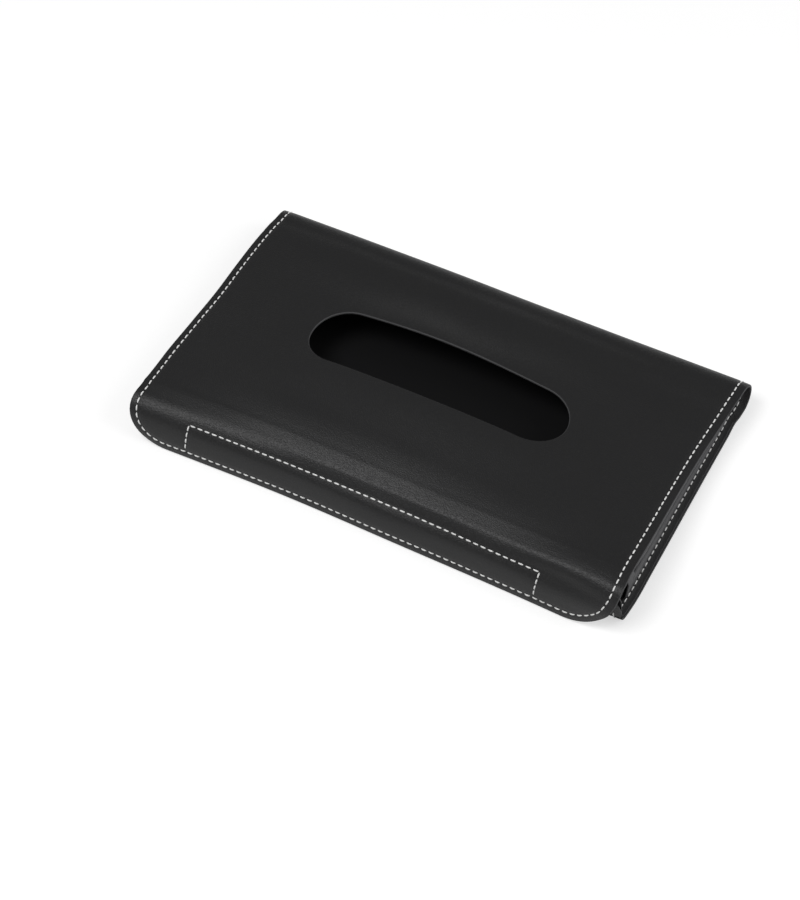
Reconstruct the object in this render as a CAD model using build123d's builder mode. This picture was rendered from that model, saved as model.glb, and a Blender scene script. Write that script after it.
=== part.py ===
# Car tissue holder: a flat leather case with a dispensing slot, a magnetic front flap,
# folded side gussets and two elastic bands for a sun visor.
# X runs along the case, +Y to the rear fold, +Z up. The origin is the bottom centre.
# Lengths are in millimetres, angles in degrees.

import os
from math import asin, atan2, cos, degrees, hypot, radians, sin, sqrt

from build123d import *

os.makedirs("parts", exist_ok=True)

# Overall size
case_length = 235.0
case_depth = 130.0
case_height = 25.0

# Sheet materials
leather = 1.2
lining = 0.6
board = 1.2
foam = 1.0
gusset_sheet = 0.8
elastic = 1.0

# Clearances and cuts
hinge_gap = 0.1
closure_gap = 0.6
seat_gap = 0.2
slip_gap = 0.2
overrun = 10.0

# Rear fold and front bend, measured on the outside of the leather
rear_radius = 8.5
front_radius = 12.0

# Front: lip, flap and the magnetic closure between them
flap_clear_height = 3.0
flap_corner_radius = 16.0
lip_height = 15.5
lip_bend_radius = 3.0
lip_corner_radius = 5.0
pocket_length = 172.0
magnet_length = 20.0
magnet_height = 6.0
magnet_thickness = 1.4
magnet_spacing = 60.0
strip_length = 160.0
strip_height = 7.4

# Crown and sag of the soft top, in degrees from the straight line that touches both folds. In the
# middle it rises from the front bend and dips into the rear fold. At the two ends it dips from the
# front bend and rises again to the rear fold.
middle_front_rise = 2.5
middle_rear_dip = 9.0
left_front_dip = 14.0
left_rear_rise = 5.0
right_front_dip = 3.0
right_rear_rise = 8.0
handle_share = 0.33
layer_gap = 0.03

# Dispensing slot, and the larger window that the foam has round it
slot_length = 122.0
slot_width = 32.0
slot_hem = 4.0

# Seams: the stitch line lies this far inside each cut edge, and the boards end inside it
stitch_inset = 3.0
board_inset = 5.5
lining_rear_inset = 6.0

# Side gussets
gusset_front_setback = 13.0
gusset_rear_setback = 27.0
gusset_flange = 4.0
gusset_crease_depth = 7.0
shoulder_share = 0.42
crease_share = 0.6
gusset_sections = 6
halvings = 24
upper_leaf_share = 0.8

# Visor bands
band_width = 25.0
band_spacing = 120.0
band_end_inset = 11.0
band_tail = 10.0

# Places worked out from the sizes above
half_length = case_length / 2
half_depth = case_depth / 2
base_floor = elastic
board_floor = base_floor + leather
lining_floor = board_floor + board
cavity_floor = lining_floor + lining
rear_y = half_depth - rear_radius
rear_z = base_floor + rear_radius
front_y = front_radius - half_depth
front_z = case_height - front_radius
flap_inner_y = leather - half_depth
pocket_depth = magnet_thickness + seat_gap / 2
flap_back_y = flap_inner_y + pocket_depth + lining
lip_y = flap_back_y + closure_gap
lip_inner_y = lip_y + leather
lip_back_y = lip_inner_y + pocket_depth + lining
lip_top = base_floor + lip_height
band_span = case_depth - 2 * band_end_inset

# The straight line that touches both folds rises to the front by this slope.
fold_span = rear_y - front_y
fold_rise = front_z - rear_z
slope = degrees(
    atan2(fold_rise, fold_span)
    + asin((front_radius - rear_radius) / hypot(fold_span, fold_rise))
)
normal_angle = 90 - slope
bend_middle = (normal_angle + 180) / 2
top_run = sqrt(hypot(fold_span, fold_rise) ** 2 - (front_radius - rear_radius) ** 2)
normal_y = sin(radians(slope))
normal_z = cos(radians(slope))


# A layer's curve over the top in side view, as its two ends and two handles. It touches both folds.
def top_curve(depth, front_angle, rear_angle):
    handle = top_run * handle_share
    points = []
    for y, z, radius, angle, turn in (
        (front_y, front_z, front_radius, front_angle, 1),
        (rear_y, rear_z, rear_radius, rear_angle, -1),
    ):
        across = cos(radians(angle))
        up = sin(radians(angle))
        place_y = y + (radius - depth) * across
        place_z = z + (radius - depth) * up
        points.append((place_y, place_z))
        points.append((place_y + turn * handle * up, place_z - turn * handle * across))
    front, front_handle, rear, rear_handle = points
    return [front, front_handle, rear_handle, rear]


# Three places along the case, each with the angles at which the top leaves the front bend and meets
# the rear fold
left_station = (-half_length, normal_angle - left_front_dip, normal_angle + left_rear_rise)
middle_station = (0, normal_angle + middle_front_rise, normal_angle - middle_rear_dip)
right_station = (half_length, normal_angle - right_front_dip, normal_angle + right_rear_rise)
top_stations = [left_station, middle_station, right_station]


# A layer of the crowned top between two depths, from one fold to the other
def cover_layer(near, far):
    sections = []
    for x, front_angle, rear_angle in top_stations:
        with BuildSketch(Plane.YZ.offset(x)) as section:
            with BuildLine():
                outside = Bezier(*top_curve(near, front_angle, rear_angle))
                inside = Bezier(*top_curve(far, front_angle, rear_angle))
                Line(outside @ 0, inside @ 0)
                Line(outside @ 1, inside @ 1)
            make_face()
        sections.append(section.sketch)
    return loft(sections)


# Height of a face of the top at its right (side 1) or left (side -1) end, found by halving the curve.
def height_under_top(y, depth, side):
    station = right_station if side > 0 else left_station
    curve = Bezier(*top_curve(depth, *station[1:]))
    near = 0.0
    far = 1.0
    for _ in range(halvings):
        middle = (near + far) / 2
        if (curve @ middle).X < y:
            near = middle
        else:
            far = middle
    return (curve @ near).Y


# Side view of a layer of the flap between two depths: the lower part of the bend, then straight down.
def flap_layer(near, far, start_angle):
    turn = 180 - start_angle
    with BuildSketch(Plane.YZ) as layer:
        with BuildLine():
            outer = CenterArc((front_y, front_z), front_radius - near, start_angle, turn)
            inner = CenterArc((front_y, front_z), front_radius - far, start_angle, turn)
            Line(outer @ 0, inner @ 0)
            outside = Line(outer @ 1, (near - half_depth, flap_clear_height))
            inside = Line(inner @ 1, (far - half_depth, flap_clear_height))
            Line(outside @ 1, inside @ 1)
        make_face()
    return layer.sketch


# A rectangle between two corners in the sketch plane.
def rectangle_between(low, high, mode=Mode.ADD):
    with Locations(((low[0] + high[0]) / 2, (low[1] + high[1]) / 2)):
        Rectangle(high[0] - low[0], high[1] - low[1], mode=mode)


# Front view of the flap with its two rounded lower corners, for cutting its layers to shape.
def flap_front_view():
    with BuildSketch(Plane.XZ) as view:
        rectangle_between((-half_length, flap_clear_height), (half_length, case_height + overrun))
        fillet(view.vertices().group_by(Axis.Y)[0], flap_corner_radius)
    return view.sketch


# Base: the bottom leather with its front lip and the lower half of the rear fold
with BuildPart() as bottom_panel:
    with BuildSketch(Plane.YZ):
        with BuildLine():
            lip_outside = Line((lip_y, lip_top), (lip_y, base_floor + lip_bend_radius))
            corner = CenterArc(
                (lip_y + lip_bend_radius, base_floor + lip_bend_radius), lip_bend_radius, 180, 90
            )
            underside = Line(corner @ 1, (rear_y, base_floor))
            fold = CenterArc((rear_y, rear_z), rear_radius, -90, 90 - degrees(hinge_gap / rear_radius))
            inner_fold = CenterArc(
                (rear_y, rear_z), rear_radius - leather, -90, 90 - degrees(hinge_gap / rear_radius)
            )
            Line(fold @ 1, inner_fold @ 1)
            inner_corner = CenterArc(
                (lip_y + lip_bend_radius, base_floor + lip_bend_radius), lip_bend_radius - leather, 180, 90
            )
            Line(inner_corner @ 1, inner_fold @ 0)
            lip_inside = Line((lip_inner_y, lip_top), inner_corner @ 0)
            Line(lip_outside @ 0, lip_inside @ 0)
        make_face()
    extrude(amount=half_length, both=True)
    lip_corners = (
        bottom_panel.edges().filter_by(Axis.Y).group_by(Axis.Z)[-1].group_by(Axis.Y)[0]
    )
    fillet(lip_corners, lip_corner_radius)
    # Slits for the ends of the visor bands
    with BuildSketch(Plane.XY.offset(board_floor)):
        with GridLocations(band_spacing, band_span - elastic, 2, 2):
            Rectangle(band_width + 2 * slip_gap, elastic + 2 * slip_gap)
    extrude(amount=-leather, mode=Mode.SUBTRACT)
bottom_panel.part.label = "bottom_panel"
export_step(bottom_panel.part, "parts/bottom_panel.step")

# The board in the bottom, with a window for each tail of the bands
board_front = lip_back_y + slip_gap
board_rear = rear_y - slip_gap
tail_window = band_tail + elastic + 2 * slip_gap
tail_spacing = band_span + 2 * slip_gap - tail_window
with BuildPart() as base_board:
    with BuildSketch(Plane.XY.offset(board_floor)):
        rectangle_between(
            (board_inset - half_length, board_front), (half_length - board_inset, board_rear)
        )
        with GridLocations(band_spacing, tail_spacing, 2, 2):
            Rectangle(band_width + 2 * slip_gap, tail_window, mode=Mode.SUBTRACT)
    extrude(amount=board)
base_board.part.label = "base_board"
export_step(base_board.part, "parts/base_board.step")

# The magnet strips stand in the flat part of the flap, and in the lip at the same height.
strip_bottom = flap_clear_height + (front_z - flap_clear_height - strip_height) / 2
strip_top = strip_bottom + strip_height
pocket_half_length = strip_length / 2 + slip_gap
lip_straight_floor = base_floor + lip_bend_radius


# Side view of the closed pocket for a magnet strip, in a lining whose front face lies at face_y.
def strip_pocket(face_y):
    with BuildSketch(Plane.YZ) as pocket:
        rectangle_between((face_y, strip_bottom), (face_y + pocket_depth, strip_top))
    return pocket.sketch


# The lining of the bottom and the lip. It meets the leather all round the board.
with BuildPart() as base_lining:
    with BuildSketch(Plane.YZ) as corner_view:
        rectangle_between((lip_inner_y, board_floor), (rear_y, cavity_floor))
        rectangle_between((lip_inner_y, board_floor), (lip_inner_y + lining, lip_top))
        fillet(corner_view.vertices().group_by(Axis.Y)[0].sort_by(Axis.X)[0], lip_bend_radius)
    extrude(amount=half_length, both=True)
    with BuildSketch(Plane.YZ):
        rectangle_between((lip_inner_y, lip_straight_floor), (lip_back_y, strip_top + lining))
    extrude(amount=pocket_length / 2, both=True)
    rim_corners = (
        base_lining.edges().filter_by(Axis.Y).group_by(Axis.Z)[-1].group_by(Axis.Y)[0]
    )
    fillet(rim_corners, lip_corner_radius)
    with BuildSketch(Plane.XY.offset(board_floor)):
        rectangle_between(
            (board_inset - half_length, board_front), (half_length - board_inset, board_rear)
        )
    extrude(amount=board, mode=Mode.SUBTRACT)
    extrude(strip_pocket(lip_inner_y), amount=pocket_half_length, both=True, mode=Mode.SUBTRACT)
base_lining.part.label = "base_lining"
export_step(base_lining.part, "parts/base_lining.step")


# The card strip that keeps three flat magnets apart, standing in a pocket at face_y.
def strip_sketch():
    middle = (strip_bottom + strip_top) / 2
    with Locations((0, middle)):
        Rectangle(strip_length, strip_height)
        with GridLocations(magnet_spacing, strip_height, 3, 1):
            Rectangle(magnet_length + slip_gap, magnet_height + slip_gap, mode=Mode.SUBTRACT)


def magnet_sketch():
    middle = (strip_bottom + strip_top) / 2
    with Locations((0, middle)):
        with GridLocations(magnet_spacing, strip_height, 3, 1):
            RectangleRounded(magnet_length, magnet_height, slip_gap)


with BuildPart() as lip_magnet_strip:
    with BuildSketch(Plane.XZ.offset(-lip_inner_y)):
        strip_sketch()
    extrude(amount=-magnet_thickness)
lip_magnet_strip.part.label = "lip_magnet_strip"
export_step(lip_magnet_strip.part, "parts/lip_magnet_strip.step")

with BuildPart() as lip_magnets:
    with BuildSketch(Plane.XZ.offset(-lip_inner_y)):
        magnet_sketch()
    extrude(amount=-magnet_thickness)
lip_magnets.part.label = "lip_magnets"
export_step(lip_magnets.part, "parts/lip_magnets.step")

# Side gussets: a standing lower leaf, a crease pushed inwards and an upper leaf under the top
gusset_front_y = gusset_front_setback - half_depth
gusset_rear_y = half_depth - gusset_rear_setback
gusset_face = half_length - stitch_inset - seat_gap
cover_depth = leather + foam + lining + seat_gap / normal_z


# Cross-section of a gusset at one place along the depth, on the right (side 1) or left (side -1).
def gusset_section(y, side):
    low = cavity_floor
    high = height_under_top(y, cover_depth, side)
    rise = high - low
    path = [
        (gusset_face - gusset_flange, low),
        (gusset_face, low),
        (gusset_face, low + rise * shoulder_share),
        (gusset_face - gusset_crease_depth, low + rise * crease_share),
        (gusset_face, low + rise * upper_leaf_share),
        (gusset_face, high),
        (gusset_face - gusset_flange, high),
    ]
    inward = Side.LEFT if side > 0 else Side.RIGHT
    with BuildSketch(Plane.XZ.offset(-y)) as section:
        with BuildLine():
            Polyline([(side * x, z) for x, z in path])
            offset(amount=gusset_sheet, side=inward, kind=Kind.INTERSECTION)
        make_face()
    return section.sketch


# A gusset from front to rear, with enough sections to follow the sag of the top
def gusset_strip(side):
    span = gusset_rear_y - gusset_front_y
    shares = [i / (gusset_sections - 1) for i in range(gusset_sections)]
    return loft([gusset_section(gusset_front_y + span * share, side) for share in shares], ruled=True)


with BuildPart() as gusset_right:
    add(gusset_strip(1))
gusset_right.part.label = "gusset_right"
export_step(gusset_right.part, "parts/gusset_right.step")

with BuildPart() as gusset_left:
    add(gusset_strip(-1))
gusset_left.part.label = "gusset_left"
export_step(gusset_left.part, "parts/gusset_left.step")


# Side view of an elastic band: flat under the leather, up through its slits and folded back inside.
def band_profile(x):
    half_span = band_span / 2
    tail_end = half_span - elastic - band_tail
    half = [
        (half_span, 0),
        (half_span, board_floor + elastic),
        (tail_end, board_floor + elastic),
        (tail_end, board_floor),
        (half_span - elastic, board_floor),
        (half_span - elastic, elastic),
    ]
    mirrored = [(-y, z) for y, z in reversed(half)]
    with BuildSketch(Plane.YZ.offset(x)) as profile:
        with BuildLine():
            Polyline(half + mirrored, close=True)
        make_face()
    return profile.sketch


with BuildPart() as visor_band_right:
    extrude(band_profile(band_spacing / 2), amount=band_width / 2, both=True)
visor_band_right.part.label = "visor_band_right"
export_step(visor_band_right.part, "parts/visor_band_right.step")

with BuildPart() as visor_band_left:
    extrude(band_profile(-band_spacing / 2), amount=band_width / 2, both=True)
visor_band_left.part.label = "visor_band_left"
export_step(visor_band_left.part, "parts/visor_band_left.step")

# Side view of the top leather at one station, from the middle of the rear fold to that of the bend.
def top_section(x, front_angle, rear_angle):
    front_turn = bend_middle - front_angle
    with BuildSketch(Plane.YZ.offset(x)) as section:
        with BuildLine():
            rear_outer = CenterArc((rear_y, rear_z), rear_radius, 0, rear_angle)
            Bezier(*reversed(top_curve(0, front_angle, rear_angle)))
            front_outer = CenterArc((front_y, front_z), front_radius, front_angle, front_turn)
            front_inner = CenterArc((front_y, front_z), front_radius - leather, front_angle, front_turn)
            Bezier(*top_curve(leather, front_angle, rear_angle))
            rear_inner = CenterArc((rear_y, rear_z), rear_radius - leather, 0, rear_angle)
            Line(front_outer @ 1, front_inner @ 1)
            Line(rear_outer @ 0, rear_inner @ 0)
        make_face()
    return section.sketch


# Plan views of the slot, of the lining and of the foam with its wider window
def slot_plan():
    with BuildSketch() as plan:
        with Locations((0, slot_y)):
            SlotOverall(slot_length, slot_width)
    return plan.sketch


def lining_plan():
    with BuildSketch() as plan:
        rectangle_between((-half_length, cover_front), (half_length, cover_rear))
    return plan.sketch


def foam_plan():
    with BuildSketch() as plan:
        rectangle_between(
            (board_inset - half_length, cover_front + stitch_inset),
            (half_length - board_inset, cover_rear - stitch_inset),
        )
        with Locations((0, slot_y)):
            SlotOverall(slot_length + 2 * slot_hem, slot_width + 2 * slot_hem, mode=Mode.SUBTRACT)
    return plan.sketch


slot_y = rear_y + rear_radius * normal_y - normal_z * top_run / 2
cover_front = slot_y - (top_run / 2 - lining_rear_inset) * normal_z
cover_rear = slot_y + (top_run / 2 - lining_rear_inset) * normal_z
plan_height = case_height + overrun

# Cover: the crowned top leather from the middle of the rear fold to the middle of the front bend
with BuildPart() as top_panel:
    loft([top_section(*station) for station in top_stations])
    extrude(slot_plan(), amount=plan_height, mode=Mode.SUBTRACT)
top_panel.part.label = "top_panel"
export_step(top_panel.part, "parts/top_panel.step")

# The soft sheet under the top leather. It ends inside the seams and clear of the slot.
foam_top = leather + layer_gap
foam_bottom = leather + foam
with BuildPart() as top_foam:
    add(cover_layer(foam_top, foam_bottom))
    extrude(foam_plan(), amount=plan_height, mode=Mode.INTERSECT)
top_foam.part.label = "top_foam"
export_step(top_foam.part, "parts/top_foam.step")

# The lining of the top. It lies on the leather round the foam and round the slot.
with BuildPart() as foam_room:
    add(cover_layer(0, foam_bottom + layer_gap))
    extrude(foam_plan(), amount=plan_height, mode=Mode.INTERSECT)
with BuildPart() as top_lining:
    add(cover_layer(foam_top, foam_bottom + lining))
    extrude(lining_plan(), amount=plan_height, mode=Mode.INTERSECT)
    extrude(slot_plan(), amount=plan_height, mode=Mode.SUBTRACT)
    add(foam_room.part, mode=Mode.SUBTRACT)
top_lining.part.label = "top_lining"
export_step(top_lining.part, "parts/top_lining.step")

# Flap: the lower half of the front bend and the hanging front
flap_start = bend_middle + degrees(hinge_gap / front_radius)
with BuildPart() as front_flap:
    extrude(flap_layer(0, leather, flap_start), amount=half_length, both=True)
    extrude(flap_front_view(), amount=case_depth, mode=Mode.INTERSECT)
front_flap.part.label = "front_flap"
export_step(front_flap.part, "parts/front_flap.step")

# The lining of the flap, thicker where it forms the pocket for the magnet strip
lining_start = flap_start + degrees(stitch_inset / front_radius)
with BuildPart() as flap_lining:
    extrude(flap_layer(leather, leather + lining, lining_start), amount=half_length, both=True)
    extrude(flap_front_view(), amount=case_depth, mode=Mode.INTERSECT)
    with BuildSketch(Plane.YZ):
        rectangle_between((flap_inner_y, flap_clear_height), (flap_back_y, front_z))
    extrude(amount=pocket_length / 2, both=True)
    extrude(strip_pocket(flap_inner_y), amount=pocket_half_length, both=True, mode=Mode.SUBTRACT)
flap_lining.part.label = "flap_lining"
export_step(flap_lining.part, "parts/flap_lining.step")

with BuildPart() as flap_magnet_strip:
    with BuildSketch(Plane.XZ.offset(-flap_inner_y)):
        strip_sketch()
    extrude(amount=-magnet_thickness)
flap_magnet_strip.part.label = "flap_magnet_strip"
export_step(flap_magnet_strip.part, "parts/flap_magnet_strip.step")

with BuildPart() as flap_magnets:
    with BuildSketch(Plane.XZ.offset(-flap_inner_y)):
        magnet_sketch()
    extrude(amount=-magnet_thickness)
flap_magnets.part.label = "flap_magnets"
export_step(flap_magnets.part, "parts/flap_magnets.step")
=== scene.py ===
import bpy
import numpy as np
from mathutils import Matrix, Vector


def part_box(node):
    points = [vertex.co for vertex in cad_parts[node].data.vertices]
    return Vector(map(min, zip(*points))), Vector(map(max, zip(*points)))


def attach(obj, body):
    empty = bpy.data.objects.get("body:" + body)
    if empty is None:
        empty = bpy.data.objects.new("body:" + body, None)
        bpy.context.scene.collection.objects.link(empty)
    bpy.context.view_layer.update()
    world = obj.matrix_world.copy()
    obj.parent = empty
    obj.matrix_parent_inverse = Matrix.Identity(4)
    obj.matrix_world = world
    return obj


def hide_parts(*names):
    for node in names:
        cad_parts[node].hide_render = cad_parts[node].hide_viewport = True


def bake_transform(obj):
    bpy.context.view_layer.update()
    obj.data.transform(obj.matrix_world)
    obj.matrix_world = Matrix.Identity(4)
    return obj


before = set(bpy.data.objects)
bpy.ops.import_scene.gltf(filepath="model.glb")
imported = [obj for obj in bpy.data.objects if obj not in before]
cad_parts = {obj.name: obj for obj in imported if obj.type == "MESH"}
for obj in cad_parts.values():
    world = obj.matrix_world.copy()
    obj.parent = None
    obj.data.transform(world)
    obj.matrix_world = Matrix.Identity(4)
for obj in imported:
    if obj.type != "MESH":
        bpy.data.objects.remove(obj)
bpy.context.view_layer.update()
mm = 0.001
print("frame loaded")


# Places of the solids, in millimetres
def boxOf(node):
    low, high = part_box(node)
    return np.array(low) / mm, np.array(high) / mm


bottomLow, bottomHigh = boxOf("bottom_panel")
topHigh = boxOf("top_panel")[1]
flapLow = boxOf("front_flap")[0]
tolerance = 1e-6

# The leather sheet in side view. It starts at the flap's lower edge and runs up over the bend, back
# over the top, round the rear fold, forward under the case and up the lip.
leatherForm = dict(
    halfLength=113.8,
    bottomHalfLength=116.8,
    thickness=1.2,
    bendRadius=12.0,
    rearRadius=6.5,
    lipBendRadius=3.0,
    flapDrop=2.2,           # the flap's edge hangs this much lower than the solid's
    flapCorner=21.0,
    lipCorner=13.0,
    slotCentre=2.5,         # y of the slot's middle
    slotHalfStraight=45.1,
    slotRadius=15.5,
    slotBow=1.8,            # the slot's rear edge stands back this much in the middle
    splitPlace=48.0,        # y where the top is split between the two pieces of leather
    edgeBulge=0.3,
    ground=0.5,             # no part of the leather lies lower than this
    seamInset=3.3,
    pocketMiddle=-1.3,
    pocketHalfLength=81.6,
    pocketHeight=15.8,
)
rearRadius = leatherForm["rearRadius"]
rearCentre = np.array([topHigh[1] - rearRadius, bottomLow[2] + rearRadius])
bendCentre = np.array([flapLow[1] + leatherForm["bendRadius"], topHigh[2] - leatherForm["bendRadius"]])
flapEdge = flapLow[2] - leatherForm["flapDrop"]

# The flat of the top touches both rounds, so its slope follows from their centres and radii
across = rearCentre - bendCentre
apart = np.hypot(*across)
slope = np.arctan2(-across[1], across[0]) + np.arcsin((leatherForm["bendRadius"] - rearRadius) / apart)
topRun = np.sqrt(apart**2 - (leatherForm["bendRadius"] - rearRadius) ** 2)
underRun = rearCentre[0] - (bottomLow[1] + leatherForm["lipBendRadius"])

# Each run of the side view has a length and a turn per millimetre
runs = np.array([
    (bendCentre[1] - flapEdge, 0),
    ((np.pi / 2 + slope) * leatherForm["bendRadius"], -1 / leatherForm["bendRadius"]),
    (topRun, 0),
    ((np.pi - slope) * rearRadius, -1 / rearRadius),
    (underRun, 0),
    (np.pi / 2 * leatherForm["lipBendRadius"], -1 / leatherForm["lipBendRadius"]),
    (bottomHigh[2] - bottomLow[2] - leatherForm["lipBendRadius"], 0),
])
runEnds = np.concatenate([[0], np.cumsum(runs[:, 0])])
flapTop, bendEnd, topEnd, foldEnd, underEnd, lipStart, lipEnd = runEnds[1:]
headings = np.pi / 2 + np.concatenate([[0], np.cumsum(runs[:, 0] * runs[:, 1])])


# Where a run's point lies: a straight run adds its length along its heading, a round one adds the
# chord of its arc. The places where the runs start are added up first.
def alongRun(start, heading, turn, length):
    safe = np.where(turn == 0, 1, turn)
    end = heading + turn * length
    y = np.where(turn == 0, np.cos(heading) * length, (np.sin(end) - np.sin(heading)) / safe)
    z = np.where(turn == 0, np.sin(heading) * length, (np.cos(heading) - np.cos(end)) / safe)
    return start[..., 0] + y, start[..., 1] + z, end


runStarts = [np.array([flapLow[1], flapEdge])]
for (length, turn), heading in zip(runs, headings):
    runStarts.append(np.array(alongRun(runStarts[-1], heading, turn, length)[:2]))
runStarts = np.array(runStarts)


def sideView(s):
    part = np.clip(np.searchsorted(runEnds, s, side="right") - 1, 0, len(runs) - 1)
    y, z, heading = alongRun(runStarts[part], headings[part], runs[part, 1], s - runEnds[part])
    return y, z, -np.sin(heading), np.cos(heading)


def unit(v):
    return v / np.maximum(np.linalg.norm(v, axis=-1, keepdims=True), 1e-12)


def smoothStep(t):
    t = np.clip(t, 0, 1)
    return t * t * (3 - 2 * t)


# Smooth curve through the values at some places: a cubic between each two, with the slope at each
# place taken from its two neighbours
def throughPlaces(at, places, values):
    places, values = np.array(places, float), np.array(values, float)
    slopes = np.gradient(values, places)
    i = np.clip(np.searchsorted(places, at, side="right") - 1, 0, len(places) - 2)
    step = places[i + 1] - places[i]
    t = np.clip((at - places[i]) / step, 0, 1)
    return (values[i] * (1 + 2 * t) * (1 - t) ** 2 + slopes[i] * step * t * (1 - t) ** 2
            + values[i + 1] * t**2 * (3 - 2 * t) - slopes[i + 1] * step * t**2 * (1 - t))


def placeOnTop(y):
    return bendEnd + (y - runStarts[2][0]) / np.cos(slope)


# How far the soft leather stands off the plain side view at the left end, the middle and the right, and
# how far its ends are drawn in or out. The places were given one by one. Nearly all of the values in the
# five columns came from fits to the photograph's stitches, outlines and shading, made by scratch
# programs. They were then rounded, and a few were changed afterwards. In leatherForm, the slot's place
# and size and the pocket's middle and length came from the same fits.
softForm = dict(
    places=[0, 7, flapTop, 17, 20, 23, 26, 29, 32.5, 36.5, 41, placeOnTop(-36), placeOnTop(-18),
            placeOnTop(2), placeOnTop(24), placeOnTop(44), topEnd - 6, topEnd, (topEnd + foldEnd) / 2,
            foldEnd, foldEnd + 12, underEnd - 24, underEnd - 10, lipEnd],
    left=[6.5, 5.9, 4.4, 1.9, -0.5, -2.9, -4.1, -4.7, -5.1, -5.1, -4.9, -4.4, -2.8, -1.3,
          0.5, 1.7, 2.3, 2.2, 4.7, 0.3, 0, 0, 0, 0],
    middle=[3.4, 2.1, 0.5, -2.0, -2.6, -2.8, -3.1, -2.9, -2.0, -0.6, 0.7, 2.0, 5.0, 5.2,
            5.3, 4.0, 4.4, 3.8, 5.2, 0, 0, 0, 0, 0],
    right=[4.8, 4.2, 4.1, 3.3, 3.3, 2.6, 1.0, 0.1, 0.0, -0.1, -0.2, 0.1, -0.8, -1.3,
           -0.9, 0.9, 2.8, 3.4, 6.3, 0.5, 0, 0, 0, 0],
    leftDrawnIn=[2.6, 3.0, 3.4, 3.8, 4.1, 4.2, 4.2, 4.0, 3.9, 3.7, 3.5, 3.2, 3.5, 3.5,
                 2.7, 2.2, 2.4, 2.6, 2.8, 2.5, 2.2, 4.6, 5.0, 5.5],
    rightDrawnOut=[0, -0.2, 0.3, 0.7, 0.9, 1.0, 1.0, 0.8, 0.7, 0.6, 0.6, 0.6, 0.3, -0.1,
                   0.2, 1.4, 2.1, 2.5, 1.8, 0, 0, 0, 0, -2.6],
    leftPower=1.9,
    rightPower=2.2,
    drawnPower=3,
    fadeLength=20,          # the waves end over this length before the rear fold's end
    waveTurns=(2, 6),       # radians for each wave length, along x and along s
    waves=[(0.16, 37, 0.4, 61, 1.3), (0.10, -23, 2.1, 41, 0.2), (0.07, 17, 4.0, 29, 3.1)],
    seamDepth=0.22,
    seamWidth=1.1,
    marginDrop=0.25,
    dents=[(-1.3, 88, 19, 16.5, 5.0), (0.5, 100, 14, 27, 5.0), (-0.5, 20, 40, 17, 5.0),
           (2.1, -8, 44, placeOnTop(19), 13), (-1.2, -60, 14, placeOnTop(0), 16),
           (-1.1, 58, 14, placeOnTop(2), 16)],
)


# Distance inwards from the sheet's outline, which is a rectangle of x and s with rounded corners
def edgeDistance(x, s):
    half, middle = leatherForm["halfLength"], lipEnd / 2
    corner = np.where(s < middle, leatherForm["flapCorner"], leatherForm["lipCorner"])
    beyondX = np.abs(x) - half + corner
    beyondS = np.abs(s - middle) - middle + corner
    outside = np.hypot(np.clip(beyondX, 0, None), np.clip(beyondS, 0, None))
    return corner - outside - np.minimum(np.maximum(beyondX, beyondS), 0)


# Distance outwards from the slot's edge
def slotDistance(x, s):
    beyond = np.clip(np.abs(x) - leatherForm["slotHalfStraight"], 0, None)
    return np.hypot(beyond, s - placeOnTop(leatherForm["slotCentre"])) - leatherForm["slotRadius"]


# Distance from the three stitched lines of the flap's pocket
def pocketDistance(x, s):
    half, low, high = (leatherForm[name] for name in ("pocketHalfLength", "seamInset", "pocketHeight"))
    away = np.abs(x - leatherForm["pocketMiddle"]) - half
    side = np.hypot(away, s - np.clip(s, low, high))
    top = np.hypot(np.clip(away, 0, None), s - high)
    return np.minimum(side, top)


def bell(distance, width):
    return np.exp(-((distance / width) ** 2))


def standOff(x, s):
    u = x / leatherForm["halfLength"]
    columns = [throughPlaces(s, softForm["places"], softForm[name]) for name in ("left", "middle", "right")]
    toLeft = np.clip(-u, 0, None) ** softForm["leftPower"]
    toRight = np.clip(u, 0, None) ** softForm["rightPower"]
    out = columns[1] + (columns[0] - columns[1]) * toLeft + (columns[2] - columns[1]) * toRight
    soft = np.clip((foldEnd - s) / softForm["fadeLength"], 0, 1)
    turnsX, turnsS = softForm["waveTurns"]
    for height, waveX, startX, waveS, startS in softForm["waves"]:
        out = out + soft * height * np.sin(x / waveX * turnsX + startX) * np.sin(s / waveS * turnsS + startS)
    for height, atX, wideX, atS, wideS in softForm["dents"]:
        out = out + height * bell(x - atX, wideX) * bell(s - atS, wideS)
    edge = edgeDistance(x, s)
    out = out - softForm["seamDepth"] * bell(edge - leatherForm["seamInset"], softForm["seamWidth"])
    out = out - softForm["seamDepth"] * bell(pocketDistance(x, s), softForm["seamWidth"])
    return out - softForm["marginDrop"] * smoothStep(1 - edge / leatherForm["seamInset"])


# Outer face of the leather at x and at s along the side view
def skin(x, s):
    y, z, normalY, normalZ = sideView(s)
    out = standOff(x, s)
    u = x / leatherForm["halfLength"]
    places, power = softForm["places"], softForm["drawnPower"]
    drawn = throughPlaces(s, places, softForm["leftDrawnIn"]) * np.clip(-u, 0, None) ** power
    drawn = drawn + throughPlaces(s, places, softForm["rightDrawnOut"]) * np.clip(u, 0, None) ** power
    wider = leatherForm["bottomHalfLength"] / leatherForm["halfLength"] - 1
    x = x * (1 + wider * smoothStep((s - topEnd) / (foldEnd - topEnd))) + drawn
    return np.stack([x, y + out * normalY, np.maximum(z + out * normalZ, leatherForm["ground"])], -1)


# Normal of that face: the cross product of its two slopes, taken over a short step each way
def skinNormal(x, s):
    stepX, stepS = 0.5, 0.25
    alongX = skin(x + stepX, s) - skin(x - stepX, s)
    alongS = skin(x, s + stepS) - skin(x, s - stepS)
    return unit(np.cross(alongX, alongS))


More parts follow.
